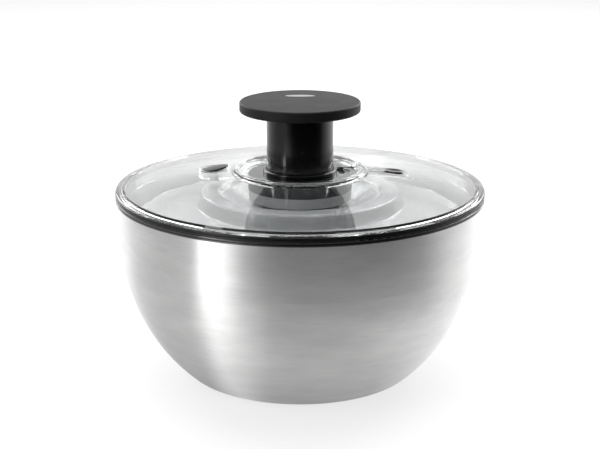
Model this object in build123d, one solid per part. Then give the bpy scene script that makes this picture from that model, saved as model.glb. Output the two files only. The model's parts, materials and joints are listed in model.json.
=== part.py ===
"""Pump salad spinner: steel bowl, slotted basket and clear lid with a push-knob drive.

Every part is modelled from the rim plane, where the rim trim meets the bowl's wall (z = 0),
and is lifted by RIM_HEIGHT when it is written, so that the object stands on z = 0.
Millimetres, +Z up, the spin axis is Z. The lock lies near +X and the brake near -X.
"""
from build123d import *
import os
from math import asin, atan2, cos, degrees, pi, radians, sin, sqrt

# Bowl
RIM_HEIGHT = 133.7          # rim plane above the table
FOOT_HEIGHT = 1.2           # how far the foot ring stands below the base
BOWL_RADIUS = 134.0         # outside, at the rim
STEEL = 1.0                 # sheet thickness
UPPER_ARC = 396.0           # profile radius of the nearly straight upper wall
UPPER_SWEEP = 0.1           # radians
LOWER_ARC = 138.0           # profile radius of the lower wall
BASE_CORNER = 14.0          # profile radius where the wall turns into the flat base
STEEL_EDGE = 2.2            # how far the steel stands into the trim
CENTRE_SPHERE = 34.0        # stamped centre: sphere radius
CENTRE_RISE = 4.0           # stamped centre: height above the floor inside
FOOT_INNER = 60.0
FOOT_OUTER = 75.0

# Rim trim and lid seal
BAND_RADIUS = 135.0
TRIM_INNER = 132.4
TRIM_TOP = 3.0
SEAL_BOTTOM = 3.1
SEAL_TOP = 6.5
SEAL_INNER = 132.9
SEAL_GAP = 0.08             # air over the seal, under the lid's flange
RIB = 0.55                  # groove depth between the ribs of the two bands

# Lid
LID_WALL = 2.5
FLANGE_RADIUS = 134.6
FLANGE_TOP = 7.9
STEP_RADIUS = 128.6
DOME_EDGE_Z = 8.9
DOME_SAG = 1.0              # the dome is this much lower at mid-radius than a straight cone
DOME_TOP_RADIUS = 50.0
DOME_TOP_Z = 18.4
SKIRT_OUTER = 129.2
SKIRT_INNER = 127.0
SKIRT_BOTTOM = -5.0
WELL_RIM_RADIUS = 48.0
WELL_RIM_Z = 21.2
WELL_FLOOR_RADIUS = 41.5
WELL_FLOOR_Z = 17.5
FLOOR_HOLE = 26.0

# Plunger and knob
STROKE = 43.0
TUBE_RADIUS = 24.4
TUBE_WALL = 2.0
TUBE_TOP = 62.0
TUBE_BOTTOM = 2.0
STOP_RADIUS = 26.0          # bead that stops the tube under the collar
STOP_HEIGHT = 4.0
KNOB_RADIUS = 44.0
KNOB_TOP_RADIUS = 42.6
KNOB_CROWN_Z = 71.3
KNOB_EDGE_Z = 70.6
KNOB_SIDE_TOP = 69.2
KNOB_SIDE_BOTTOM = 64.8
KNOB_BOTTOM = 62.8
KNOB_LOW_RADIUS = 42.4
KNOB_CORE_RADIUS = 41.4
KNOB_CORE_TOP = 68.4
CORE_RECESS_TOP = 65.6
CORE_RIBS = 12
BADGE_LENGTH = 22.0
BADGE_WIDTH = 8.0
BADGE_Y = 16.0
BADGE_FLOOR = 69.5
COLLAR_BORE = 24.8
COLLAR_RADIUS = 27.0
COLLAR_TOP = 20.8
COLLAR_BOTTOM = 6.2

# Mechanism under the lid
HOUSING_RADIUS = 38.0
HOUSING_WALL = 2.4
HOUSING_TOP = WELL_FLOOR_Z - LID_WALL
HOUSING_BOTTOM = 4.6
BEARING_RING_BOTTOM = -3.0
BEARING_BORE = 28.9
WASHER_TOP = 0.2
HUB_TOP = 2.8
HUB_OUTER = 28.4
HUB_INNER = 26.6
HUB_BOTTOM = -66.0
RETAINER_RADIUS = 34.0
COVER_OUTER = 37.5
COVER_INNER = 35.5
COVER_BOTTOM = -62.0
DISC_Z = -10.0              # top of the drive disc at the hub
DISC_WALL = 2.0
TRACK_TOP = 3.0
TRACK_INNER = 60.0
TRACK_OUTER = 72.5
DISC_RADIUS = 116.0
LUGS = 6
LUG_WIDTH = 8.0

# Spindle and one-way clutch
SPINDLE_LEAD = 32.0         # rise of the twist in one turn
SPINDLE_WIDTH = 13.0
SPINDLE_THICK = 5.0
SPINDLE_TOP = 14.0
DRUM_RADIUS = 20.0
DRUM_BOTTOM = -63.0
DRUM_TOP = -57.0
SEAT_TOP = -55.0
JOURNAL = 4.0
SPRING_RADIUS = 17.0
SPRING_WIRE = 1.4
SPRING_TURNS = 8
SLEEVE_INNER = 24.0

# Basket
BASKET_RADIUS = 117.0
BASKET_TOP = -14.8
BASKET_WALL = 2.2
BASKET_RIM_RADIUS = 121.0
BASKET_LOW_RADIUS = 98.0
BASKET_LOW_Z = -88.0
BASKET_FLOOR_RADIUS = 70.0
BASKET_FLOOR_Z = -118.0
WALL_SLOTS = 40
FLOOR_SLOTS = 20

# Brake, at the left of the knob
BRAKE_X, BRAKE_Y = -63.7, 19.0
BRAKE_TRAVEL = 3.0
BRAKE_BORE = 10.3
BUTTON_RADIUS = 10.0
BUTTON_SLOPE = 11.0         # degrees, follows the dome
BRAKE_FLOOR = 8.6           # underside of the socket's floor
BRAKE_FLOOR_WALL = 1.2
PAD_BOTTOM = 6.2
PAD_RADIUS = 5.2

# Lock, at the right of the knob; its plate slides in a channel that falls outwards
LOCK_ANGLE = 10.0           # degrees round from +X
LOCK_SLOPE = 6.0            # degrees
LOCK_TRAVEL = 6.0
LOCK_X = 34.0               # plate's inner end at rest
LOCK_Z = 17.3               # plate's upper face at that end
PLATE = 1.3
PLATE_HEAD_WIDTH = 20.0
PLATE_HEAD_LENGTH = 7.0
PLATE_NECK_WIDTH = 8.0
PLATE_LENGTH = 42.0
RECESS_WIDTH = 15.0
RECESS_START = 16.0         # along the channel from LOCK_X
RECESS_END = 47.0
THUMB_MIDDLE = 36.5         # along the channel, over the detent
GAP = 0.35                  # clearance round sliding plastic

base_z = FOOT_HEIGHT - RIM_HEIGHT
tube_bore = TUBE_RADIUS - TUBE_WALL
brake_angle = degrees(atan2(BRAKE_Y, BRAKE_X))
brake_reach = sqrt(BRAKE_X**2 + BRAKE_Y**2)
lock_frame = Rot(0, 0, LOCK_ANGLE) * Pos(LOCK_X, 0, LOCK_Z) * Rot(0, LOCK_SLOPE, 0)


def turned(*points, radius=0.0):
    """Ring or disc turned about Z from a closed outline of (radius, height) points."""
    outline = FilletPolyline(*points, radius=radius, close=True) if radius else Polyline(*points, close=True)
    return revolve(Plane.XZ * make_face(outline), axis=Axis.Z)


def turned_lines(lines):
    """Solid turned about Z from joined lines and arcs drawn as (radius, height)."""
    edges = [edge for line in lines for edge in line.edges()]
    return revolve(Plane.XZ * make_face(edges), axis=Axis.Z)


def ring(inner, outer, low, high, corner=0.0):
    """Plain ring with an optional corner radius; inner 0 gives a disc."""
    if inner == 0:
        blank = Pos(0, 0, (low + high) / 2) * Cylinder(outer, high - low)
        return fillet(blank.edges(), corner) if corner else blank
    return turned((inner, low), (outer, low), (outer, high), (inner, high), radius=corner)


def block(x0, x1, width, low, high):
    """Box from x0 to x1, centred on the X axis."""
    return Pos((x0 + x1) / 2, 0, (low + high) / 2) * Box(x1 - x0, width, high - low)


def around(count, shape, start=0.0):
    """The shape repeated evenly about Z."""
    return [Rot(0, 0, start + 360 / count * i) * shape for i in range(count)]


def coil(mean_radius, wire, low, high, turns):
    """Helical spring of round wire whose ends lie just inside low and high."""
    height = high - low - wire
    path = Helix(pitch=height / turns, height=height, radius=mean_radius)
    section = Plane(origin=path @ 0, z_dir=path % 0) * Circle(wire / 2)
    return Pos(0, 0, low + wire / 2) * sweep(section, path=path, is_frenet=True)


def screw(head_radius, head_height, shank_radius, length, recess=0.9):
    """Pan-head screw, head up, with its seat at z = 0 and a cross recess."""
    head = Pos(0, 0, head_height / 2) * Cylinder(head_radius, head_height)
    head = fillet(head.edges().sort_by(Axis.Z)[-1], head_height * 0.4)
    shank = Pos(0, 0, -length / 2) * Cylinder(shank_radius, length)
    arm = Box(head_radius * 1.1, head_radius * 0.28, recess * 2)
    cross = Pos(0, 0, head_height) * (arm + Rot(0, 0, 90) * arm)
    return head + shank - cross


# Bowl ---------------------------------------------------------------------------------

def bowl_envelope(inset):
    """Solid bounded by the bowl's profile, offset inwards; its arcs share their centres."""
    depth = -base_z
    sweep_angle = asin(
        (depth - BASE_CORNER - (UPPER_ARC - LOWER_ARC) * sin(UPPER_SWEEP)) / (LOWER_ARC - BASE_CORNER)
    )
    upper = (BOWL_RADIUS - UPPER_ARC, 0)
    reach = UPPER_ARC - LOWER_ARC
    lower = (upper[0] + reach * cos(UPPER_SWEEP), -reach * sin(UPPER_SWEEP))
    reach = LOWER_ARC - BASE_CORNER
    corner = (lower[0] + reach * cos(sweep_angle), lower[1] - reach * sin(sweep_angle))
    edge = BOWL_RADIUS - inset
    top = STEEL_EDGE + inset * 2
    first, second = degrees(UPPER_SWEEP), degrees(sweep_angle)
    outline = [
        Line((0, top), (edge, top)),
        Line((edge, top), (edge, 0)),
        CenterArc(upper, UPPER_ARC - inset, 0, -first),
        CenterArc(lower, LOWER_ARC - inset, -first, first - second),
        CenterArc(corner, BASE_CORNER - inset, -second, second - 90),
        Line((corner[0], base_z + inset), (0, base_z + inset)),
        Line((0, base_z + inset), (0, top)),
    ]
    return turned_lines(outline)


def make_bowl():
    floor = base_z + STEEL
    centre = Pos(0, 0, floor + CENTRE_RISE - CENTRE_SPHERE)
    cap = centre * Sphere(CENTRE_SPHERE) & block(-CENTRE_SPHERE, CENTRE_SPHERE, 80, base_z, 0)
    return bowl_envelope(0) - bowl_envelope(STEEL) + cap - centre * Sphere(CENTRE_SPHERE - STEEL)


def ribbed_band(inner, low, high, grooves):
    """Rubber band with rounded ribs on its outer face."""
    band = ring(inner, BAND_RADIUS, low, high, corner=0.45)
    for z in grooves:
        band -= turned((BAND_RADIUS - RIB, z), (BAND_RADIUS + 1, z - 0.75), (BAND_RADIUS + 1, z + 0.75))
    return band


def make_rim_trim():
    steel = ring(BOWL_RADIUS - STEEL, BOWL_RADIUS, -1, STEEL_EDGE)
    return ribbed_band(TRIM_INNER, 0, TRIM_TOP, [TRIM_TOP / 2]) - steel


def make_foot_ring():
    foot = ring(FOOT_INNER, FOOT_OUTER, base_z - FOOT_HEIGHT, base_z, corner=0.5)
    middle = (FOOT_INNER + FOOT_OUTER) / 2
    return foot - ring(middle - 1.2, middle + 1.2, base_z - FOOT_HEIGHT, base_z - FOOT_HEIGHT / 2)


# Basket -------------------------------------------------------------------------------

def basket_envelope(inset):
    """Solid bounded by the basket's outer faces, offset inwards."""
    top = BASKET_TOP + inset
    return turned(
        (0, BASKET_FLOOR_Z + inset),
        (BASKET_FLOOR_RADIUS, BASKET_FLOOR_Z + inset),
        (BASKET_LOW_RADIUS - 6 - inset, BASKET_LOW_Z - 14 + inset / 2),
        (BASKET_LOW_RADIUS - inset, BASKET_LOW_Z),
        (BASKET_RADIUS - inset, BASKET_TOP - 2),
        (BASKET_RADIUS - inset, top),
        (0, top),
        radius=[0.0, 18.0, 14.0, 40.0, 2.0, 0.0, 0.0],
    )


def make_basket():
    basket = basket_envelope(0) - basket_envelope(BASKET_WALL)
    basket += turned(
        (BASKET_RADIUS - BASKET_WALL, BASKET_TOP - 2.2),
        (BASKET_RIM_RADIUS, BASKET_TOP - 2.2),
        (BASKET_RIM_RADIUS, BASKET_TOP),
        (BASKET_RADIUS - BASKET_WALL, BASKET_TOP),
        radius=[0.0, 0.8, 0.8, 0.0],
    )
    lean = degrees(atan2(BASKET_RADIUS - BASKET_LOW_RADIUS, BASKET_TOP - BASKET_LOW_Z))
    middle = (BASKET_RADIUS + BASKET_LOW_RADIUS) / 2
    wall_slot = extrude(Plane.YZ * Rot(0, 0, 90) * SlotOverall(54, 5), 20, both=True)
    wall_slot = Pos(middle, 0, (BASKET_TOP + BASKET_LOW_Z) / 2 - 3) * Rot(0, -lean, 0) * wall_slot
    basket -= around(WALL_SLOTS, wall_slot)
    floor_slot = Pos(48, 0, BASKET_FLOOR_Z) * extrude(SlotOverall(30, 5), 4, both=True)
    basket -= around(FLOOR_SLOTS, floor_slot)
    ribs = []
    for side in (-1, 1):
        offset = side * (LUG_WIDTH / 2 + 2.1)
        ribs += around(LUGS, Pos(0, offset, 0) * block(110.5, 114.2, 3, BASKET_TOP - 9, BASKET_TOP - 0.6))
    basket += ribs
    return basket - ring(0, 9, BASKET_FLOOR_Z - 1, BASKET_FLOOR_Z + BASKET_WALL + 1)


def make_pivot_bush():
    """Flanged cup in the basket's floor that turns on the bowl's stamped centre."""
    sphere_z = base_z + STEEL + CENTRE_RISE - CENTRE_SPHERE
    bush = turned(
        (0, sphere_z + CENTRE_SPHERE - 2),
        (9, sphere_z + CENTRE_SPHERE - 2),
        (9, BASKET_FLOOR_Z + BASKET_WALL),
        (14, BASKET_FLOOR_Z + BASKET_WALL),
        (14, BASKET_FLOOR_Z + BASKET_WALL + 2),
        (7, BASKET_FLOOR_Z + BASKET_WALL + 4),
        (0, BASKET_FLOOR_Z + BASKET_WALL + 4.5),
    )
    return bush - Pos(0, 0, sphere_z) * Sphere(CENTRE_SPHERE + 0.3)


# Lid ----------------------------------------------------------------------------------

def dome_arc(drop):
    """Dome line from the step to the well, lowered by drop."""
    middle = ((STEP_RADIUS + DOME_TOP_RADIUS) / 2, (DOME_EDGE_Z + DOME_TOP_Z) / 2 - DOME_SAG - drop)
    return ThreePointArc((STEP_RADIUS, DOME_EDGE_Z - drop), middle, (DOME_TOP_RADIUS, DOME_TOP_Z - drop))


def lid_blank():
    """The lid's section, turned: flange, step, dome, well rim, stepped well and skirt."""
    under_floor = WELL_FLOOR_Z - LID_WALL
    flange_bottom = SEAL_TOP + SEAL_GAP
    lines = [
        dome_arc(0),
        FilletPolyline(
            (DOME_TOP_RADIUS, DOME_TOP_Z),
            (48.6, 19.0),
            (WELL_RIM_RADIUS, WELL_RIM_Z),
            (45.2, WELL_RIM_Z),
            (44.7, 20.0),
            (43.3, 19.7),
            (42.9, 18.4),
            (41.9, 18.1),
            (WELL_FLOOR_RADIUS, WELL_FLOOR_Z),
            (FLOOR_HOLE, WELL_FLOOR_Z),
            radius=[0.6, 0.9, 0.8, 0.4, 0.4, 0.4, 0.3, 0.3],
        ),
        Polyline(
            (FLOOR_HOLE, WELL_FLOOR_Z),
            (FLOOR_HOLE, under_floor),
            (44.5, under_floor),
            (DOME_TOP_RADIUS, DOME_TOP_Z - LID_WALL),
        ),
        dome_arc(LID_WALL),
        Polyline(
            (STEP_RADIUS, DOME_EDGE_Z - LID_WALL),
            (SKIRT_INNER, DOME_EDGE_Z - LID_WALL - 1.5),
            (SKIRT_INNER, SKIRT_BOTTOM),
            (SKIRT_OUTER, SKIRT_BOTTOM),
            (SKIRT_OUTER, flange_bottom),
        ),
        FilletPolyline(
            (SKIRT_OUTER, flange_bottom),
            (FLANGE_RADIUS, flange_bottom),
            (FLANGE_RADIUS, FLANGE_TOP - 0.3),
            (130.6, FLANGE_TOP + 0.3),
            (129.9, FLANGE_TOP - 0.5),
            (129.2, FLANGE_TOP - 0.4),
            (STEP_RADIUS, DOME_EDGE_Z),
            radius=[0.3, 0.6, 0.3, 0.25, 0.25],
        ),
    ]
    return turned_lines(lines)


def lock_channel():
    """Room that the latch plate, the thumb slide and the knob's hook move in."""
    floor = -PLATE - GAP
    head = block(-LOCK_TRAVEL - GAP, PLATE_HEAD_LENGTH + GAP, PLATE_HEAD_WIDTH + 2 * GAP, floor, 3)
    neck = block(PLATE_HEAD_LENGTH, RECESS_START + 1, PLATE_NECK_WIDTH + 2 * GAP, floor, GAP)
    rounding = RECESS_WIDTH / 2
    recess = block(RECESS_START, RECESS_END - rounding, RECESS_WIDTH, floor, 9)
    recess += Pos(RECESS_END - rounding, 0, (floor + 9) / 2) * Cylinder(rounding, 9 - floor)
    under_wall = WELL_FLOOR_RADIUS - LOCK_X
    head -= block(under_wall, under_wall + 9, 30, GAP, 9)
    catch = Rot(0, 0, LOCK_ANGLE) * block(28.3, 36.8, 8, 13.2, 19)
    return lock_frame * (head + neck + recess) + catch


def lock_boss():
    """Plastic under the channel, which keeps it closed from below."""
    floor = -PLATE - GAP
    boss = block(-LOCK_TRAVEL, RECESS_END + 1.6, PLATE_HEAD_WIDTH + 4, floor - 1.4, floor + 1.5)
    pocket = Rot(0, 0, LOCK_ANGLE) * block(27.2, 38, 11, 11.8, 16)
    under_dome = turned((0, 5), (90, 5), (90, 11.2), (46, 15.8), (0, 17.2))
    return (lock_frame * boss + pocket) & under_dome


def make_lid_shell():
    socket_top = 15.5
    socket = ring(0, BRAKE_BORE + 1.8, BRAKE_FLOOR, socket_top)
    bore = ring(0, BRAKE_BORE, BRAKE_FLOOR + BRAKE_FLOOR_WALL, 30)
    bore += ring(0, 3.2, BRAKE_FLOOR - 1, 12)
    brake_spot = Pos(BRAKE_X, BRAKE_Y, 0)
    lid = lid_blank() + brake_spot * socket + lock_boss()
    lid -= brake_spot * bore
    lid -= lock_channel()
    lid -= detent_pocket()
    return lid - ring(0, FLOOR_HOLE, 0, 30)


def make_lid_seal():
    return ribbed_band(SEAL_INNER, SEAL_BOTTOM, SEAL_TOP, [(SEAL_BOTTOM + SEAL_TOP) / 2])


def make_plunger_collar():
    """Guide collar: flange on the well's floor and a threaded sleeve that clamps the housing."""
    collar = turned(
        (COLLAR_BORE, COLLAR_BOTTOM),
        (FLOOR_HOLE, COLLAR_BOTTOM),
        (FLOOR_HOLE, WELL_FLOOR_Z),
        (COLLAR_RADIUS, WELL_FLOOR_Z),
        (COLLAR_RADIUS, COLLAR_TOP),
        (COLLAR_BORE, COLLAR_TOP),
        radius=[0.0, 0.0, 0.0, 0.4, 0.9, 0.4],
    )
    groove = ring(COLLAR_RADIUS - 0.5, COLLAR_RADIUS + 1, WELL_FLOOR_Z + 1.2, WELL_FLOOR_Z + 1.6)
    return collar - groove


def make_mechanism_housing():
    """Dark cup under the well; its top is clamped by the collar and its skirt holds the bearing ring."""
    cup = ring(FLOOR_HOLE, HOUSING_RADIUS, HOUSING_TOP - 2.4, HOUSING_TOP)
    cup += ring(FLOOR_HOLE, FLOOR_HOLE + 2, HOUSING_TOP - 7, HOUSING_TOP)
    cup += ring(HOUSING_RADIUS - HOUSING_WALL, HOUSING_RADIUS, HOUSING_BOTTOM, HOUSING_TOP)
    web = block(FLOOR_HOLE + 1, HOUSING_RADIUS - 1, 1.6, HOUSING_TOP - 6, HOUSING_TOP - 1)
    cup += around(8, web, start=22.5)
    notch = Rot(0, 0, LOCK_ANGLE) * block(FLOOR_HOLE + 1, HOUSING_RADIUS + 5, 26, 11.6, HOUSING_TOP + 1)
    return cup - notch


def make_bearing_ring():
    """Translucent ring snapped to the housing; the spinning hub hangs in its bore."""
    outer = HOUSING_RADIUS - 0.2
    body = ring(BEARING_BORE, outer, BEARING_RING_BOTTOM, -0.6, corner=0.4)
    body += ring(outer - 2, outer, -1.5, HOUSING_BOTTOM)
    spigot = HOUSING_RADIUS - HOUSING_WALL
    return body + ring(spigot - 1.2, spigot, -1.5, HOUSING_BOTTOM + 2.5)


def make_thrust_washer():
    return ring(BEARING_BORE, 33.8, -0.6, WASHER_TOP)


def make_latch_detent():
    """Arched leaf spring under the latch plate that holds it at either end of its travel."""
    floor = -PLATE - GAP
    length, rise, leaf = 8.0, 0.8, 0.3
    arch = ThreePointArc((-length / 2, 0), (0, rise), (length / 2, 0))
    under = ThreePointArc((length / 2, -leaf), (0, rise - leaf), (-length / 2, -leaf))
    sides = [Line(arch @ 1, under @ 0), Line(under @ 1, arch @ 0)]
    strip = extrude(Plane.XZ * make_face(Wire([arch, under] + sides)), 2, both=True)
    pocket_floor = floor - 1.0
    return lock_frame * Pos(THUMB_MIDDLE, 0, pocket_floor + leaf) * strip


def detent_pocket():
    floor = -PLATE - GAP
    return lock_frame * Pos(THUMB_MIDDLE, 0, 0) * block(-4.6, 4.6, 5, floor - 1.0, floor + 0.5)


# Plunger ------------------------------------------------------------------------------

def knob_envelope():
    """Outer shape of the soft grip: crowned top, upright side, rounded edges."""
    top = ThreePointArc((0, KNOB_CROWN_Z), (KNOB_TOP_RADIUS / 2, KNOB_CROWN_Z - 0.22), (KNOB_TOP_RADIUS, KNOB_EDGE_Z))
    shoulder = ThreePointArc(
        (KNOB_TOP_RADIUS, KNOB_EDGE_Z), (KNOB_RADIUS - 0.4, KNOB_EDGE_Z - 0.4), (KNOB_RADIUS, KNOB_SIDE_TOP)
    )
    side = Line((KNOB_RADIUS, KNOB_SIDE_TOP), (KNOB_RADIUS, KNOB_SIDE_BOTTOM))
    low = ThreePointArc(
        (KNOB_RADIUS, KNOB_SIDE_BOTTOM), (KNOB_RADIUS - 0.4, KNOB_BOTTOM + 0.7), (KNOB_LOW_RADIUS, KNOB_BOTTOM)
    )
    close = Polyline((KNOB_LOW_RADIUS, KNOB_BOTTOM), (0, KNOB_BOTTOM), (0, KNOB_CROWN_Z))
    return turned_lines([top, shoulder, side, low, close])


def badge_prism():
    return Pos(0, BADGE_Y, BADGE_FLOOR) * extrude(Ellipse(BADGE_LENGTH / 2, BADGE_WIDTH / 2), 4)


def make_knob_grip():
    return knob_envelope() - ring(0, KNOB_CORE_RADIUS, 60, KNOB_CORE_TOP) - badge_prism()


def make_knob_badge():
    return badge_prism() & (Pos(0, 0, 0.12) * knob_envelope())


def knob_screw_spots(z):
    return [Rot(0, 0, 90 + 120 * i) * Pos(18, 0, z) for i in range(3)]


def make_knob_core():
    core = turned(
        (0, TUBE_TOP),
        (38.4, TUBE_TOP),
        (KNOB_CORE_RADIUS, 63.4),
        (KNOB_CORE_RADIUS, KNOB_CORE_TOP),
        (0, KNOB_CORE_TOP),
        radius=[0.0, 1.5, 0.8, 0.5, 0.0],
    )
    core -= ring(TUBE_RADIUS + 0.2, 37, TUBE_TOP - 1, CORE_RECESS_TOP)
    rib = block(COLLAR_RADIUS + GAP, 37.5, 1.6, TUBE_TOP + 0.4, CORE_RECESS_TOP + 0.5)
    core += around(CORE_RIBS, rib, start=LOCK_ANGLE + 180 / CORE_RIBS)
    for spot in knob_screw_spots(0):
        core -= spot * ring(0, 3.4, 65.5, 70)
        core -= spot * ring(0, 1.5, 60, 70)
    return core + make_hook()


def make_hook():
    """Hook under the knob; pressed down, its tooth passes the latch plate and is caught by it."""
    pressed_low = 14.7
    low = pressed_low + STROKE
    high = low + 1.2
    stem = block(28.9, 30.9, 6, low, CORE_RECESS_TOP + 0.5)
    wedge = make_face(Polyline((30, low), (33, low), (34, high), (30, high), close=True))
    tooth = extrude(Plane.XZ * wedge, 3, both=True)
    return Rot(0, 0, LOCK_ANGLE) * (stem + tooth)


def make_knob_screws():
    return Compound([spot * screw(2.9, 1.9, 1.5, 7) for spot in knob_screw_spots(65.5)])


def make_plunger_tube():
    tube = ring(tube_bore, TUBE_RADIUS, TUBE_BOTTOM, TUBE_TOP)
    tube += ring(tube_bore, STOP_RADIUS, TUBE_BOTTOM, TUBE_BOTTOM + STOP_HEIGHT - 0.1)
    tube += ring(13.5, tube_bore + 0.5, TUBE_TOP - 4, TUBE_TOP)
    for spot in knob_screw_spots(0):
        tube -= spot * ring(0, 1.5, TUBE_TOP - 3.5, TUBE_TOP + 1)
    return tube


def twisted_bar(grow, low, high):
    """Flat bar twisted about Z; any stretch of it is in phase with the whole spindle."""
    start = 360 * low / SPINDLE_LEAD
    width, thick = SPINDLE_WIDTH + 2 * grow, SPINDLE_THICK + 2 * grow
    section = (Rot(0, 0, start) * RectangleRounded(width, thick, thick * 0.45)).face()
    bar = Solid.extrude_linear_with_rotation(
        section, (0, 0, 0), (0, 0, high - low), 360 * (high - low) / SPINDLE_LEAD
    )
    return Pos(0, 0, low) * bar


def make_spindle_nut():
    nut = ring(0, tube_bore, TUBE_BOTTOM, TUBE_BOTTOM + 6)
    return nut - twisted_bar(0.35, TUBE_BOTTOM - 1, TUBE_BOTTOM + 7)


def make_return_spring():
    return coil(SPRING_RADIUS, SPRING_WIRE, SEAT_TOP, TUBE_BOTTOM, SPRING_TURNS)


# Spindle ------------------------------------------------------------------------------

def make_spindle():
    bar = twisted_bar(0, DRUM_TOP - 3, SPINDLE_TOP)
    journal = ring(0, JOURNAL, HUB_BOTTOM - 3, DRUM_TOP - 2)
    clip_groove = ring(3.1, JOURNAL + 1, HUB_BOTTOM - 1.4, HUB_BOTTOM - 0.6)
    return bar + journal - clip_groove


def make_clutch_hub():
    """Drum that the clutch spring grips, with the seat of the return spring on top."""
    drum = ring(0, DRUM_RADIUS, DRUM_BOTTOM, DRUM_TOP)
    drum += ring(0, 21.4, DRUM_TOP, SEAT_TOP)
    drum += ring(0, 15.8, DRUM_TOP, SEAT_TOP + 2)
    drum -= ring(0, 8.5, DRUM_TOP - 3, SEAT_TOP + 3)
    return drum - ring(0, JOURNAL, DRUM_BOTTOM - 1, DRUM_TOP) + clutch_key()


def clutch_key():
    """Ring between the drum and the spindle that takes the turning load."""
    return ring(0, 8.5, DRUM_TOP - 3, SEAT_TOP + 2) - twisted_bar(0, DRUM_TOP - 4, SEAT_TOP + 3)


def make_retaining_clip():
    clip = ring(3.1, 6.4, HUB_BOTTOM - 1.4, HUB_BOTTOM - 0.6)
    return clip - block(0, 8, 4.4, HUB_BOTTOM - 2, HUB_BOTTOM)


# Drive --------------------------------------------------------------------------------

def make_drive_disc():
    """Clear disc with a raised brake track; six lugs under its edge grip the basket."""
    low = DISC_Z - DISC_WALL
    wall = DISC_WALL
    disc = turned(
        (HUB_OUTER, low),
        (43, low),
        (TRACK_INNER - 1, TRACK_TOP - 5 - wall),
        (TRACK_INNER + 1, TRACK_TOP - wall),
        (TRACK_OUTER - wall, TRACK_TOP - wall),
        (TRACK_OUTER + 1, -8 - wall),
        (DISC_RADIUS - 4, -12 - wall),
        (DISC_RADIUS, -12 - wall),
        (DISC_RADIUS, -12),
        (DISC_RADIUS - 4, -12),
        (TRACK_OUTER + 3, -8),
        (TRACK_OUTER, TRACK_TOP),
        (TRACK_INNER, TRACK_TOP),
        (TRACK_INNER - 2.5, TRACK_TOP - 4),
        (43, DISC_Z),
        (HUB_OUTER, DISC_Z),
        radius=[0, 3, 1.5, 0.6, 0.6, 2, 1, 0.8, 0.8, 1, 2, 1, 1, 1.5, 3, 0],
    )
    lug = block(109.5, 113.5, LUG_WIDTH, -20, -12.5)
    disc += around(LUGS, lug)
    for spot in disc_screw_spots(0):
        disc -= spot * ring(0, 1.4, low - 1, DISC_Z + 1)
    return disc


def disc_screw_spots(z):
    return [Rot(0, 0, 45 + 90 * i) * Pos(32.2, 0, z) for i in range(4)]


def make_disc_screws():
    return Compound([spot * screw(2.6, 1.7, 1.4, 8) for spot in disc_screw_spots(DISC_Z)])


def make_drive_hub():
    """Tube that the plunger dips into; its foot carries the clutch and the spindle's bearing."""
    hub = ring(HUB_INNER, HUB_OUTER, HUB_BOTTOM, HUB_TOP)
    hub += ring(0, HUB_INNER + 0.5, HUB_BOTTOM, DRUM_BOTTOM - 0.4)
    return hub - ring(0, 7, HUB_BOTTOM - 1, DRUM_BOTTOM)


def make_hub_retainer():
    return ring(HUB_OUTER, RETAINER_RADIUS, WASHER_TOP + 0.2, HUB_TOP, corner=0.3)


def make_hub_cover():
    """Pale smooth cover round the hub, with four bosses for the disc's screws."""
    top = DISC_Z - DISC_WALL
    cover = turned(
        (HUB_OUTER, COVER_BOTTOM),
        (COVER_OUTER, COVER_BOTTOM),
        (COVER_OUTER, top),
        (COVER_INNER, top),
        (COVER_INNER, COVER_BOTTOM + 2),
        (HUB_OUTER, COVER_BOTTOM + 2),
        radius=[0, 4, 0, 0, 2, 0],
    )
    for spot in disc_screw_spots(0):
        boss = ring(0, 3.5, top - 12, top) - ring(0, 1.4, top - 9, top + 1)
        cover += spot * boss
    return cover


def make_clutch_sleeve():
    return ring(SLEEVE_INNER, HUB_INNER, DRUM_BOTTOM, DRUM_TOP + 2)


def make_clutch_spring():
    return coil(SLEEVE_INNER - 0.75, 1.2, DRUM_BOTTOM + 0.2, DRUM_TOP + 0.8, 4)


def make_spindle_bush():
    return ring(JOURNAL + 0.05, 7, HUB_BOTTOM - 0.5, DRUM_BOTTOM - 0.4)


# Brake --------------------------------------------------------------------------------

def brake_parts_frame():
    return Pos(BRAKE_X, BRAKE_Y, 0) * Rot(0, 0, brake_angle)


def make_brake_button():
    """Round button whose crowned top follows the dome's slope; +X here points outwards."""
    top, underside, skirt_low = 17.2, 15.2, 13.2
    button = ring(0, BUTTON_RADIUS, skirt_low, 20) - ring(0, BUTTON_RADIUS - 1.6, skirt_low - 1, underside)
    slope = Pos(0, 0, top) * Rot(0, BUTTON_SLOPE, 0)
    crown = slope * Pos(0, 0, -70) * Sphere(70)
    button = button & crown
    button += ring(0, 4.6, underside - 1.6, underside + 0.5)
    button -= ring(0, 2.2, skirt_low - 1, underside + 0.4)
    top_edge = button.edges().filter_by(GeomType.CIRCLE, reverse=True).sort_by(SortBy.LENGTH)[-1]
    return brake_parts_frame() * fillet(top_edge, 0.6)


def make_brake_stem():
    stem = ring(0, 3.0, PAD_BOTTOM + 2, 13.6) + ring(0, 2.2, 13.0, 15.6)
    stem += ring(0, 2.0, PAD_BOTTOM + 0.8, PAD_BOTTOM + 2.1)
    return brake_parts_frame() * stem


def make_brake_pad():
    pad = ring(0, PAD_RADIUS, PAD_BOTTOM, PAD_BOTTOM + 2, corner=0.4)
    return brake_parts_frame() * (pad - ring(0, 2.0, PAD_BOTTOM + 0.8, PAD_BOTTOM + 3))


def make_brake_spring():
    return brake_parts_frame() * coil(5.6, 0.5, BRAKE_FLOOR + BRAKE_FLOOR_WALL, 15.2, 4)


# Lock ---------------------------------------------------------------------------------

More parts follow.
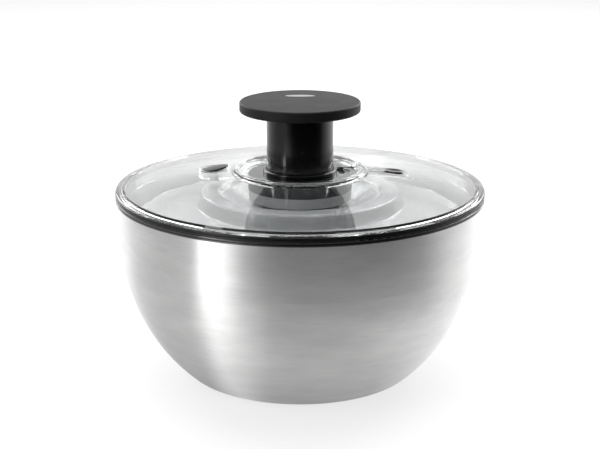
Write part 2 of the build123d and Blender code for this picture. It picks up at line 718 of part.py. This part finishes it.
def make_latch_plate():
    """Plate with a wide slotted head in the well and a neck that runs out to the thumb slide."""
    half = PLATE_HEAD_WIDTH / 2
    head = block(0, PLATE_HEAD_LENGTH, PLATE_HEAD_WIDTH, -PLATE, 0)
    neck = block(PLATE_HEAD_LENGTH - 1, PLATE_LENGTH, PLATE_NECK_WIDTH, -PLATE, 0)
    slot = block(-1, 3.4, 8, -PLATE - 1, 1)
    plate = head + neck - slot
    corners = plate.edges().filter_by(Axis.Z).filter_by_position(Axis.Y, half - 0.1, half + 0.1)
    corners += plate.edges().filter_by(Axis.Z).filter_by_position(Axis.Y, -half - 0.1, -half + 0.1)
    return lock_frame * fillet(corners, 1.5)


def make_lock_thumb():
    """Oval thumb slide with a hollow top, fixed on the plate's outer end."""
    length, width, height = 14.0, 12.5, 2.6
    thumb = Pos(THUMB_MIDDLE, 0, 0) * extrude(SlotOverall(length, width), height)
    thumb = fillet(thumb.edges().group_by(Axis.Z)[-1], 0.9)
    thumb -= Pos(THUMB_MIDDLE, 0, 24.6) * Sphere(23)
    return lock_frame * thumb


NODES = {
    "bowl": make_bowl,
    "rim_trim": make_rim_trim,
    "foot_ring": make_foot_ring,
    "basket": make_basket,
    "pivot_bush": make_pivot_bush,
    "lid_shell": make_lid_shell,
    "lid_seal": make_lid_seal,
    "plunger_collar": make_plunger_collar,
    "mechanism_housing": make_mechanism_housing,
    "bearing_ring": make_bearing_ring,
    "thrust_washer": make_thrust_washer,
    "latch_detent": make_latch_detent,
    "knob_grip": make_knob_grip,
    "knob_badge": make_knob_badge,
    "knob_core": make_knob_core,
    "knob_screws": make_knob_screws,
    "plunger_tube": make_plunger_tube,
    "spindle_nut": make_spindle_nut,
    "return_spring": make_return_spring,
    "spindle": make_spindle,
    "clutch_hub": make_clutch_hub,
    "retaining_clip": make_retaining_clip,
    "drive_disc": make_drive_disc,
    "disc_screws": make_disc_screws,
    "drive_hub": make_drive_hub,
    "hub_retainer": make_hub_retainer,
    "hub_cover": make_hub_cover,
    "clutch_sleeve": make_clutch_sleeve,
    "clutch_spring": make_clutch_spring,
    "spindle_bush": make_spindle_bush,
    "brake_button": make_brake_button,
    "brake_stem": make_brake_stem,
    "brake_pad": make_brake_pad,
    "brake_spring": make_brake_spring,
    "latch_plate": make_latch_plate,
    "lock_thumb": make_lock_thumb,
}

os.makedirs("parts", exist_ok=True)
for name, make in NODES.items():
    export_step(Pos(0, 0, RIM_HEIGHT) * make(), f"parts/{name}.step")
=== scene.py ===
import json
from math import cos, pi, radians, sin

import bpy
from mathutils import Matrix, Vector


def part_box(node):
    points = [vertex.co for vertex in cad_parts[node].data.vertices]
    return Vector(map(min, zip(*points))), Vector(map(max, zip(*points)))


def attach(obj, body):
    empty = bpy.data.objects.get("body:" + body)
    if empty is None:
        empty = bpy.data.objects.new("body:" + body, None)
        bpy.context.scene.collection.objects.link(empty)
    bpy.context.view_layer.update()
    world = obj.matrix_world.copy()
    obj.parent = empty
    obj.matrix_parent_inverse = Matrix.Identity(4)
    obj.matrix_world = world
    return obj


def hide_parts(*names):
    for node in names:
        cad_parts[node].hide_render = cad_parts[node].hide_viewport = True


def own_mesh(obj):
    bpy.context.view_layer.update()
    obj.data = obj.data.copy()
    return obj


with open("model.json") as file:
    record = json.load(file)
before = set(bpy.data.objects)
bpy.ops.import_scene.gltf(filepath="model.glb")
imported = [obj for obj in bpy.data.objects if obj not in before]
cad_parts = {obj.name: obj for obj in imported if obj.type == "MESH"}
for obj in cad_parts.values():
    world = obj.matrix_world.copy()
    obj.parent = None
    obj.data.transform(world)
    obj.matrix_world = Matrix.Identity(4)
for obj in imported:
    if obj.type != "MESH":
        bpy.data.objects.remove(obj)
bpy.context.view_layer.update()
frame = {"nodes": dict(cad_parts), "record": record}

nodes = frame["nodes"]

# Height of the bowl's rim, read from the frame
RIM_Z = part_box("rim_trim")[0].z

# Camera: back from the spin axis, up from the rim, tilted down (radians); lens in millimetres
CAMERA_BACK = 1.0364
CAMERA_OVER_RIM = 0.2708
CAMERA_PITCH = 0.277
LENS = 87.2
SENSOR = 36.0
FRAMING = 0.003             # lens shift that lowers the object in the picture by a hair

BOUNCES = {
    "max_bounces": 20,
    "transmission_bounces": 20,
    "glossy_bounces": 8,
    "diffuse_bounces": 4,
    "transparent_max_bounces": 24,
}

# Floor of the sweep; the pairs are distances from the spin axis between which it changes
FLOOR_RADIUS = 14
FLOOR_SIDES = 128
FLOOR_DROP = 0.0003         # below the foot, so that the two don't touch
FOOT_SHADE = (0.06, 0.17)   # darker close to the foot
FOOT_SHADE_DEPTH = 0.5
NEAR_TO_MIDDLE = (0.14, 0.42)
MIDDLE_TO_FAR = (0.5, 0.9)
FLOOR_SHINE = 0.72          # share of plain white in the floor that the camera sees

# Studio walls turn into the ceiling between these slopes of the view
WALL_TO_CEILING = (0.1, 0.6)

# Soft boxes: name, azimuth, distance, height, width, length, watts; azimuth in degrees from
# straight ahead of the object, positive to the left
SOFT_BOXES = (
    ("left_strip", 55, 1.5, 0.75, 0.32, 1.5, 8),
    ("right_back", -140, 1.6, 1.0, 0.9, 1.4, 26),
    ("left_back", 140, 1.6, 1.0, 0.9, 1.4, 22),
    ("top", 180, 0.4, 1.9, 1.6, 1.6, 28),
)
LIGHT_TARGET = (0, 0, 0.1)


# Node helpers -------------------------------------------------------------------------

class Tree:
    """Short calls for building the nodes of a material, or of another owner of a node tree."""

    def __init__(self, name, owner=None, output="Material", coordinates="Object"):
        self.owner = owner or bpy.data.materials.new(name)
        self.owner.use_nodes = True
        self.nt = self.owner.node_tree
        self.nt.nodes.clear()
        self.out = self.nt.nodes.new("ShaderNodeOutput" + output)
        self.where = self.nt.nodes.new("ShaderNodeTexCoord").outputs[coordinates]

    def node(self, kind, inputs=None, **settings):
        made = self.nt.nodes.new("ShaderNode" + kind)
        for key, value in settings.items():
            setattr(made, key, value)
        for key, value in (inputs or {}).items():
            self.set(made.inputs[key], value)
        return made

    def set(self, socket, value):
        if isinstance(value, bpy.types.NodeSocket):
            self.nt.links.new(value, socket)
        else:
            socket.default_value = value

    def math(self, operation, a, b=0.0, c=0.0):
        return self.node("Math", {0: a, 1: b, 2: c}, operation=operation).outputs[0]

    def mixed(self, factor, a, b):
        return self.node("Mix", {0: factor, 2: a, 3: b}, data_type="FLOAT").outputs[0]

    def scaled(self, x, y, z):
        return self.node("Mapping", {"Vector": self.where, "Scale": (x, y, z)}).outputs[0]

    def noise(self, vector, scale, detail=2.0, roughness=0.5):
        made = self.node(
            "TexNoise", {"Vector": vector, "Scale": scale, "Detail": detail, "Roughness": roughness}
        )
        return made.outputs[0]

    def ramp(self, value, low, high, to_low=0.0, to_high=1.0):
        made = self.node(
            "MapRange",
            {"Value": value, "From Min": low, "From Max": high, "To Min": to_low, "To Max": to_high},
        )
        return made.outputs[0]

    def step(self, value, low, high):
        made = self.node(
            "MapRange", {"Value": value, "From Min": low, "From Max": high}, interpolation_type="SMOOTHSTEP"
        )
        return made.outputs[0]

    def blend(self, factor, a, b):
        made = self.node("Mix", {0: factor, 6: (*a, 1), 7: (*b, 1)}, data_type="RGBA")
        return made.outputs[2]

    def bump(self, height, distance, strength):
        inputs = {"Height": height, "Distance": distance, "Strength": strength}
        return self.node("Bump", inputs).outputs[0]

    def principled(self, **values):
        made = self.node("BsdfPrincipled")
        for key, value in values.items():
            self.set(made.inputs[key.replace("_", " ")], value)
        return made

    def finish(self, shader):
        self.nt.links.new(shader.outputs[0], self.out.inputs["Surface"])
        return self.owner


# Materials ----------------------------------------------------------------------------

def brushed_steel():
    """Steel brushed round the bowl: fine lines along the turn, soft mottling, stretched gloss."""
    t = Tree("brushed_steel")
    xyz = t.node("SeparateXYZ", {0: t.where})
    radius = t.math("SQRT", t.math("ADD", t.math("MULTIPLY", xyz.outputs[0], xyz.outputs[0]),
                                   t.math("MULTIPLY", xyz.outputs[1], xyz.outputs[1])))
    along = t.math("ADD", xyz.outputs[2], radius)
    turn = t.node("CombineXYZ", {0: xyz.outputs[0], 1: xyz.outputs[1], 2: t.math("MULTIPLY", along, 60.0)})
    lines = t.noise(turn.outputs[0], 60.0, 3.0, 0.6)
    fine = t.noise(turn.outputs[0], 190.0, 2.0, 0.7)
    drift = t.noise(t.scaled(14, 14, 26), 1.0, 3.0, 0.55)
    smear = t.node("CombineXYZ", {0: xyz.outputs[0], 1: xyz.outputs[1], 2: t.math("MULTIPLY", along, 3.0)})
    bands = t.noise(smear.outputs[0], 22.0, 3.0, 0.6)
    tone = t.math("ADD", t.math("MULTIPLY", lines, 0.55), t.math("MULTIPLY", bands, 0.45))
    colour = t.blend(t.ramp(tone, 0.32, 0.68), (0.525, 0.525, 0.525), (0.665, 0.665, 0.66))
    rough = t.math("ADD", t.ramp(drift, 0.3, 0.7, 0.32, 0.40), t.ramp(fine, 0.3, 0.7, -0.03, 0.03))
    height = t.math("ADD", t.math("MULTIPLY", lines, 0.7), t.math("MULTIPLY", fine, 0.3))
    steel = t.principled(Base_Color=colour, Metallic=1.0, Roughness=rough, Anisotropic=0.96,
                         Anisotropic_Rotation=0.25, Normal=t.bump(height, 0.00002, 0.5))
    tangent = t.node("Tangent", direction_type="RADIAL", axis="Z")
    t.nt.links.new(tangent.outputs[0], steel.inputs["Tangent"])
    return t.finish(steel)


def clear_plastic():
    """Moulded clear plastic: slight flow ripple, faint hairline scuffs; lamps shine through it."""
    t = Tree("clear_plastic")
    ripple = t.noise(t.where, 28.0, 2.0)
    scuff = t.noise(t.scaled(1, 1, 6), 420.0, 2.0, 0.7)
    rough = t.ramp(scuff, 0.45, 0.8, 0.012, 0.06)
    colour = t.blend(t.ramp(ripple, 0.3, 0.7), (0.965, 0.972, 0.972), (0.985, 0.992, 0.992))
    body = t.principled(Base_Color=colour, Roughness=rough, Transmission_Weight=1.0, IOR=1.49,
                        Normal=t.bump(ripple, 0.0006, 0.25))
    path = t.node("LightPath")
    through = t.node("BsdfTransparent", {"Color": (0.93, 0.94, 0.94, 1)})
    lamps = t.math("MAXIMUM", path.outputs["Is Shadow Ray"], path.outputs["Is Diffuse Ray"])
    return t.finish(t.node("MixShader", {0: lamps, 1: body.outputs[0], 2: through.outputs[0]}))


def milky_plastic(name, colour, light, transmission, roughness):
    """Translucent moulding: partly see-through, softly blurred, with faint cloudiness."""
    t = Tree(name)
    cloud = t.noise(t.where, 35.0, 3.0)
    grain = t.noise(t.where, 900.0, 2.0)
    tone = t.blend(t.ramp(cloud, 0.3, 0.7), colour, light)
    rough = t.ramp(grain, 0.3, 0.7, roughness - 0.04, roughness + 0.06)
    return t.finish(t.principled(Base_Color=tone, Roughness=rough, Transmission_Weight=transmission,
                                 IOR=1.49, Normal=t.bump(grain, 0.00001, 0.25)))


def dark_moulding(name, dark, light, roughness, grain_scale, grain_depth, specular=0.5, spread=0.05):
    """Dark plastic or rubber: tone drift, fine grain in the normal and uneven gloss."""
    t = Tree(name)
    drift = t.noise(t.where, 45.0, 3.0, 0.55)
    grain = t.noise(t.where, grain_scale, 3.0, 0.6)
    colour = t.blend(t.ramp(drift, 0.3, 0.7), dark, light)
    rough = t.math("ADD", t.ramp(drift, 0.3, 0.7, roughness - spread, roughness + spread),
                   t.ramp(grain, 0.3, 0.7, -spread / 2, spread / 2))
    return t.finish(t.principled(Base_Color=colour, Roughness=rough, Specular_IOR_Level=specular,
                                 Normal=t.bump(grain, grain_depth, 0.5)))


def polished_metal(name, colour, roughness):
    """Drawn wire or sheet: short directional scratches over a bright metal."""
    t = Tree(name)
    scratch = t.noise(t.scaled(1, 1, 9), 260.0, 3.0, 0.7)
    tone = t.blend(t.ramp(scratch, 0.3, 0.7), colour, tuple(v * 0.86 for v in colour))
    rough = t.ramp(scratch, 0.3, 0.7, roughness - 0.06, roughness + 0.08)
    return t.finish(t.principled(Base_Color=tone, Metallic=1.0, Roughness=rough,
                                 Normal=t.bump(scratch, 0.00002, 0.4)))


MATERIALS = {
    "steel": brushed_steel(),
    "black_rubber": dark_moulding(
        "black_rubber", (0.004, 0.004, 0.0045), (0.008, 0.008, 0.009), 0.3, 1400, 0.00001, 0.35
    ),
    "foot_rubber": dark_moulding(
        "foot_rubber", (0.02, 0.02, 0.021), (0.03, 0.03, 0.031), 0.62, 1200, 0.00005
    ),
    "soft_grip": dark_moulding(
        "soft_grip", (0.006, 0.006, 0.0065), (0.0095, 0.0095, 0.01), 0.55, 2200, 0.00003, 0.2
    ),
    # badge: a plain mark on the knob; its light grey is a painted highlight standing in for the glint the
    # debossed mark catches
    "badge": dark_moulding("badge", (0.17, 0.17, 0.173), (0.23, 0.23, 0.233), 0.35, 1500, 0.00001),
    "gloss_black": dark_moulding(
        "gloss_black", (0.0015, 0.0015, 0.0017), (0.003, 0.003, 0.0032), 0.1, 260, 0.000008, 0.4, 0.02
    ),
    "satin_black": dark_moulding(
        "satin_black", (0.007, 0.007, 0.008), (0.011, 0.011, 0.012), 0.34, 1500, 0.00003, 0.25
    ),
    "dark_plastic": dark_moulding(
        "dark_plastic", (0.028, 0.028, 0.03), (0.04, 0.04, 0.042), 0.3, 1300, 0.00003
    ),
    "clear_plastic": clear_plastic(),
    "basket_plastic": milky_plastic("basket_plastic", (0.88, 0.885, 0.89), (0.93, 0.935, 0.94), 0.76, 0.18),
    "frosted_plastic": milky_plastic("frosted_plastic", (0.47, 0.475, 0.48), (0.54, 0.545, 0.55), 0.3, 0.3),
    "acetal": milky_plastic("acetal", (0.7, 0.69, 0.66), (0.78, 0.77, 0.74), 0.05, 0.34),
    "latch_grey": dark_moulding(
        "latch_grey", (0.16, 0.163, 0.168), (0.2, 0.203, 0.208), 0.3, 1300, 0.00003
    ),
    "spring_steel": polished_metal("spring_steel", (0.56, 0.56, 0.57), 0.24),
}

# Nodes whose surface differs from the rest of their slot
OWN_FINISH = {
    "rim_trim": dark_moulding(
        "rim_trim_gloss", (0.004, 0.004, 0.0045), (0.007, 0.007, 0.008), 0.13, 900, 0.000008, 0.9, 0.02
    ),
}


def dress_cad_nodes():
    """Gives every CAD node the material of its slot, or its own."""
    for part in frame["record"]["subparts"]:
        node = part["node"]
        for slot in nodes[node].material_slots:
            slot.material = OWN_FINISH.get(node, MATERIALS[part["material_slot"]])


def shortening_spring(node, body):
    """Stands for a CAD spring: a copy of its mesh that rides on the body, with the CAD node hidden."""
    coil = bpy.data.objects.new(node + "_coil", nodes[node].data.copy())
    bpy.context.scene.collection.objects.link(coil)
    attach(coil, body)
    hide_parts(node)
    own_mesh(coil)


# Studio -------------------------------------------------------------------------------

def soft_box(name, azimuth, distance, height, wide, tall, power):
    data = bpy.data.lights.new(name, "AREA")
    data.shape = "RECTANGLE"
    data.size = wide
    data.size_y = tall
    data.energy = power
    light = bpy.data.objects.new(name, data)
    turn = radians(azimuth)
    light.location = (-distance * sin(turn), -distance * cos(turn), height)
    aim = Vector(LIGHT_TARGET) - light.location
    light.rotation_euler = aim.to_track_quat("-Z", "Y").to_euler()
    bpy.context.scene.collection.objects.link(light)


# Brightness of the studio by degrees to the right of the front, close to the object, at arm's
# length and far off: white sides and back, a dark camera side, a soft strip at the front left
AROUND_NEAR = (
    (-180, 1.1), (-110, 0.9), (-70, 0.85), (-50, 0.9), (-40, 1.3), (-26, 1.3), (-14, 1.0), (0, 0.94),
    (35, 1.05), (60, 1.35), (90, 1.5), (180, 1.1),
)
AROUND_MIDDLE = (
    (-180, 1.1), (-140, 0.98), (-112, 0.93), (-84, 0.95), (-58, 0.98), (-52, 2.8), (-37, 2.8),
    (-29, 1.1), (-18, 0.42), (-8, 0.2), (4, 0.14), (50, 0.12), (70, 0.32), (90, 0.92), (112, 1.2),
    (140, 1.0), (180, 1.1),
)
AROUND_FAR = (
    (-180, 1.3), (-140, 1.2), (-112, 0.9), (-84, 0.6), (-62, 0.7), (-48, 0.6), (-38, 0.2),
    (-25, 0.03), (0, 0.02), (56, 0.02), (74, 0.1), (90, 0.7), (112, 1.4), (140, 1.4), (180, 1.3),
)
CEILING = 0.6


def brightness_around(t, x, y, stops):
    """Brightness at the bearing of (x, y), as a node output."""
    bearing = t.math("ARCTAN2", x, t.math("MULTIPLY", y, -1.0))
    ramp = t.node("ValToRGB", {0: t.math("MULTIPLY_ADD", bearing, 1 / (2 * pi), 0.5)})
    elements = ramp.color_ramp.elements
    top = max(value for _, value in stops)
    while len(elements) < len(stops):
        elements.new(0.5)
    for element, (degrees, value) in zip(elements, stops):
        element.position = degrees / 360 + 0.5
        element.color = (value / top,) * 3 + (1,)
    return t.math("MULTIPLY", ramp.outputs[0], top)


def make_floor():
    """White sweep: the camera sees it white with a faint shadow, the object sees the studio on it."""
    bpy.ops.mesh.primitive_circle_add(
        vertices=FLOOR_SIDES, radius=FLOOR_RADIUS, fill_type="NGON", location=(0, 0, -FLOOR_DROP)
    )
    floor = bpy.context.object
    floor.name = "floor"
    t = Tree("floor_white")
    xyz = t.node("SeparateXYZ", {0: t.where})
    x, y = xyz.outputs[0], xyz.outputs[1]
    reach = t.math("SQRT", t.math("ADD", t.math("MULTIPLY", x, x), t.math("MULTIPLY", y, y)))
    close = t.mixed(
        t.step(reach, *NEAR_TO_MIDDLE),
        brightness_around(t, x, y, AROUND_NEAR),
        brightness_around(t, x, y, AROUND_MIDDLE),
    )
    shade = t.math("MULTIPLY_ADD", t.step(reach, *FOOT_SHADE), FOOT_SHADE_DEPTH, 1 - FOOT_SHADE_DEPTH)
    close = t.math("MULTIPLY", close, shade)
    glow = t.mixed(t.step(reach, *MIDDLE_TO_FAR), close, brightness_around(t, x, y, AROUND_FAR))
    speck = t.noise(t.where, 3.0, 2.0)
    white = t.blend(t.ramp(speck, 0.3, 0.7), (0.88, 0.88, 0.88), (0.9, 0.9, 0.9))
    matte = t.node("BsdfDiffuse", {"Color": white})
    shine = t.node("Emission", {"Color": (1, 1, 1, 1), "Strength": 1.0})
    seen = t.node("MixShader", {0: FLOOR_SHINE, 1: matte.outputs[0], 2: shine.outputs[0]})
    studio = t.node("Emission", {"Color": (1, 1, 1, 1), "Strength": glow})
    camera = t.node("LightPath").outputs["Is Camera Ray"]
    floor.data.materials.append(
        t.finish(t.node("MixShader", {0: camera, 1: studio.outputs[0], 2: seen.outputs[0]}))
    )


def make_world():
    """Studio walls and ceiling; white where the camera looks past the object."""
    world = bpy.data.worlds.new("studio")
    bpy.context.scene.world = world
    t = Tree("studio", world, "World", "Generated")
    xyz = t.node("SeparateXYZ", {0: t.where})
    around = brightness_around(t, xyz.outputs[0], xyz.outputs[1], AROUND_FAR)
    walls = t.mixed(t.step(xyz.outputs[2], *WALL_TO_CEILING), around, CEILING)
    camera = t.node("LightPath").outputs["Is Camera Ray"]
    t.finish(t.node("Background", {"Color": (1, 1, 1, 1), "Strength": t.mixed(camera, walls, 1.0)}))


def make_camera():
    data = bpy.data.cameras.new("camera")
    data.lens = LENS
    data.sensor_width = SENSOR
    data.shift_y = FRAMING
    camera = bpy.data.objects.new("camera", data)
    camera.location = (0, -CAMERA_BACK, RIM_Z + CAMERA_OVER_RIM)
    camera.rotation_euler = (pi / 2 - CAMERA_PITCH, 0, 0)
    bpy.context.scene.collection.objects.link(camera)
    bpy.context.scene.camera = camera


def set_view():
    scene = bpy.context.scene
    scene.view_settings.view_transform = "Standard"
    for setting, count in BOUNCES.items():
        setattr(scene.cycles, setting, count)


dress_cad_nodes()
shortening_spring("return_spring", "plunger")
shortening_spring("brake_spring", "brake")
make_floor()
make_world()
for box in SOFT_BOXES:
    soft_box(*box)
make_camera()
set_view()
